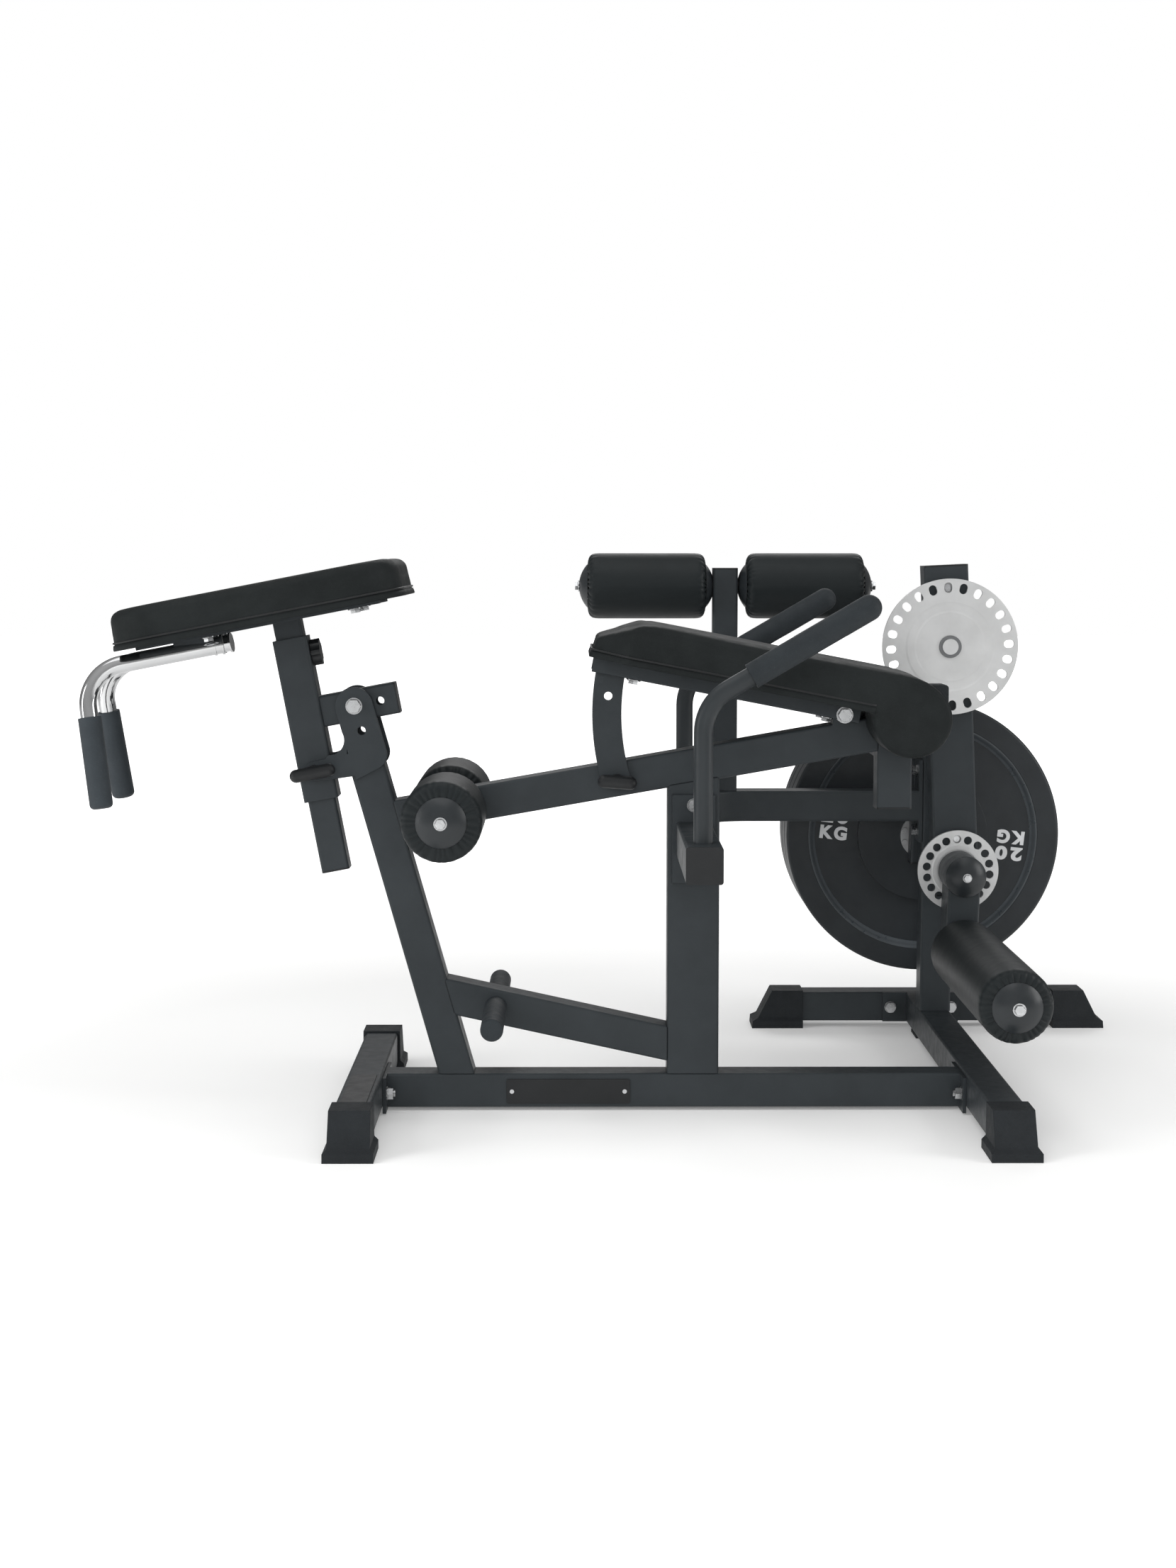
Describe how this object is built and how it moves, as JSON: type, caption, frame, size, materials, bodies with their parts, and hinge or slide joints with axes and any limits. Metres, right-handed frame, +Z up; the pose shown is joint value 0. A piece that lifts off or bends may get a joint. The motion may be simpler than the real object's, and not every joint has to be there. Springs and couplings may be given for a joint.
{
  "type": "lying leg curl machine",
  "caption": "Plate-loaded leg curl: padded tilting bench and chest rest on a square-tube frame, with a swinging ankle lever set through slotted discs.",
  "frame": {"origin": "on the floor, under the middle of the whole machine's outer box at rest", "axes": "+X along the base rail from the chest pad towards the lever, +Y across the machine from the front handle to the weight plates, +Z up"},
  "size_m": [1.6062, 1.025, 0.809],
  "materials": {
    "frame_paint": "satin charcoal powder coat",
    "zinc_fastener": "bright zinc plate",
    "index_disc_steel": "satin plated steel",
    "foot_rubber": "coarse textured black rubber",
    "grip_rubber": "matte dark rubber",
    "black_plastic": "matte black moulded plastic",
    "dome_plastic": "semi-gloss black moulded plastic",
    "foam_vinyl": "soft dark vinyl over foam",
    "pad_leatherette": "fine-grained black leatherette",
    "chrome_bar": "polished chrome",
    "plate_iron": "dark hammered enamel"
  },
  "bodies": {
    "frame": {"left_cross_tube": "frame_paint", "right_cross_tube": "frame_paint", "rear_cross_tube": "frame_paint", "base_rail": "frame_paint", "left_post": "frame_paint", "centre_post": "frame_paint", "diagonal_brace": "frame_paint", "bench_bar": "frame_paint", "front_upright": "frame_paint", "handle_stub": "frame_paint", "rear_side_bar": "frame_paint", "column": "frame_paint", "handle_bars": "frame_paint", "hold_down_post": "frame_paint", "frame_bolts": "zinc_fastener", "pivot_bolts_and_bearings": "zinc_fastener", "roller_axles": "zinc_fastener", "rubber_feet": "foot_rubber", "rubber_bumper": "foot_rubber", "frame_grips": "grip_rubber", "frame_end_plugs": "black_plastic", "rail_badge": "black_plastic"},
    "chest_arm": {"chest_sleeve": "frame_paint", "chest_arm_plastics": "black_plastic"},
    "chest_rest": {"chest_post": "frame_paint", "chest_post_plug": "black_plastic", "chest_pad": "pad_leatherette", "chest_pad_screws": "zinc_fastener", "chest_bars": "chrome_bar", "chest_grips": "grip_rubber"},
    "chest_clamp_knob": {"chest_knob": "black_plastic"},
    "chest_pull_pin": {"chest_pin": "black_plastic"},
    "bench": {"bench_pad": "pad_leatherette", "bench_frame": "frame_paint", "bench_pad_screws": "zinc_fastener"},
    "bench_pull_pin": {"bench_pin": "black_plastic"},
    "front_leg_roller": {"leg_roller_front_foam": "foam_vinyl", "leg_roller_front_caps": "dome_plastic"},
    "rear_leg_roller": {"leg_roller_rear_foam": "foam_vinyl", "leg_roller_rear_caps": "dome_plastic"},
    "left_hold_down_roller": {"hold_down_left_foam": "foam_vinyl", "hold_down_left_caps": "dome_plastic"},
    "right_hold_down_roller": {"hold_down_right_foam": "foam_vinyl", "hold_down_right_caps": "dome_plastic"},
    "weight_swing": {"index_disc": "index_disc_steel", "weight_arm": "frame_paint", "weight_horn": "frame_paint", "weight_arm_plugs": "black_plastic"},
    "loaded_plates": {"weight_plates": "plate_iron"},
    "lever": {"lever_tube": "frame_paint", "lever_bushes": "index_disc_steel", "lever_plugs": "black_plastic"},
    "lever_pull_pin": {"lever_pin": "zinc_fastener"},
    "link_pull_pin": {"link_pin": "zinc_fastener"},
    "ankle_lever": {"link_disc": "index_disc_steel", "link_caps": "dome_plastic", "link_tube": "frame_paint", "ankle_axle": "zinc_fastener"},
    "ankle_foam": {"ankle_roller_foam": "foam_vinyl", "ankle_roller_caps": "dome_plastic"}
  },
  "joints": [
    {"name": "chest_tilt", "type": "hinge", "parent": "frame", "child": "chest_arm", "pos_m": [-0.41637, -0.1755, 0.591], "axis": [0, 1, 0], "range_deg": [0, 85]},
    {"name": "chest_height", "type": "slide", "parent": "chest_arm", "child": "chest_rest", "axis": [-0.1843, 0, 0.9829], "range_m": [-0.015, 0.09]},
    {"name": "chest_knob_turn", "type": "hinge", "parent": "chest_arm", "child": "chest_clamp_knob", "pos_m": [-0.50388, -0.1755, 0.66144], "axis": [0.9829, 0, 0.1843], "continuous": true},
    {"name": "chest_pin_pull", "type": "slide", "parent": "frame", "child": "chest_pull_pin", "axis": [0, -1, 0], "range_m": [0, 0.014]},
    {"name": "bench_tilt", "type": "hinge", "parent": "frame", "child": "bench", "pos_m": [0.28473, -0.1755, 0.5794], "axis": [0, -1, 0], "range_deg": [0, 20.9]},
    {"name": "bench_pin_pull", "type": "slide", "parent": "bench", "child": "bench_pull_pin", "axis": [0, -1, 0], "range_m": [0, 0.014]},
    {"name": "front_leg_roller_turn", "type": "hinge", "parent": "frame", "child": "front_leg_roller", "pos_m": [-0.28287, -0.1755, 0.4423], "axis": [0, 1, 0], "continuous": true},
    {"name": "rear_leg_roller_turn", "type": "hinge", "parent": "frame", "child": "rear_leg_roller", "pos_m": [-0.28287, -0.1755, 0.4423], "axis": [0, 1, 0], "continuous": true},
    {"name": "left_hold_down_turn", "type": "hinge", "parent": "frame", "child": "left_hold_down_roller", "pos_m": [0.14263, 0.2705, 0.756], "axis": [1, 0, 0], "continuous": true},
    {"name": "right_hold_down_turn", "type": "hinge", "parent": "frame", "child": "right_hold_down_roller", "pos_m": [0.14263, 0.2705, 0.756], "axis": [1, 0, 0], "continuous": true},
    {"name": "main_pivot", "type": "hinge", "parent": "frame", "child": "weight_swing", "pos_m": [0.49113, -0.1755, 0.662], "axis": [0, -1, 0], "range_deg": [0, 110]},
    {"name": "plate_loading", "type": "slide", "parent": "weight_swing", "child": "loaded_plates", "axis": [0, 1, 0], "range_m": [0, 0.16]},
    {"name": "lever_start_angle", "type": "hinge", "parent": "weight_swing", "child": "lever", "pos_m": [0.49113, -0.1755, 0.662], "axis": [0, -1, 0], "range_deg": [-30, 105]},
    {"name": "lever_pin_pull", "type": "slide", "parent": "lever", "child": "lever_pull_pin", "axis": [0, 1, 0], "range_m": [0, 0.012]},
    {"name": "link_pin_pull", "type": "slide", "parent": "lever", "child": "link_pull_pin", "axis": [0, 1, 0], "range_m": [0, 0.012]},
    {"name": "link_angle", "type": "hinge", "parent": "lever", "child": "ankle_lever", "pos_m": [0.50813, -0.1755, 0.307], "axis": [0, -1, 0], "range_deg": [-60, 60]},
    {"name": "ankle_roller_turn", "type": "hinge", "parent": "ankle_lever", "child": "ankle_foam", "pos_m": [0.50413, -0.1755, 0.191], "axis": [0, 1, 0], "continuous": true}
  ]
}
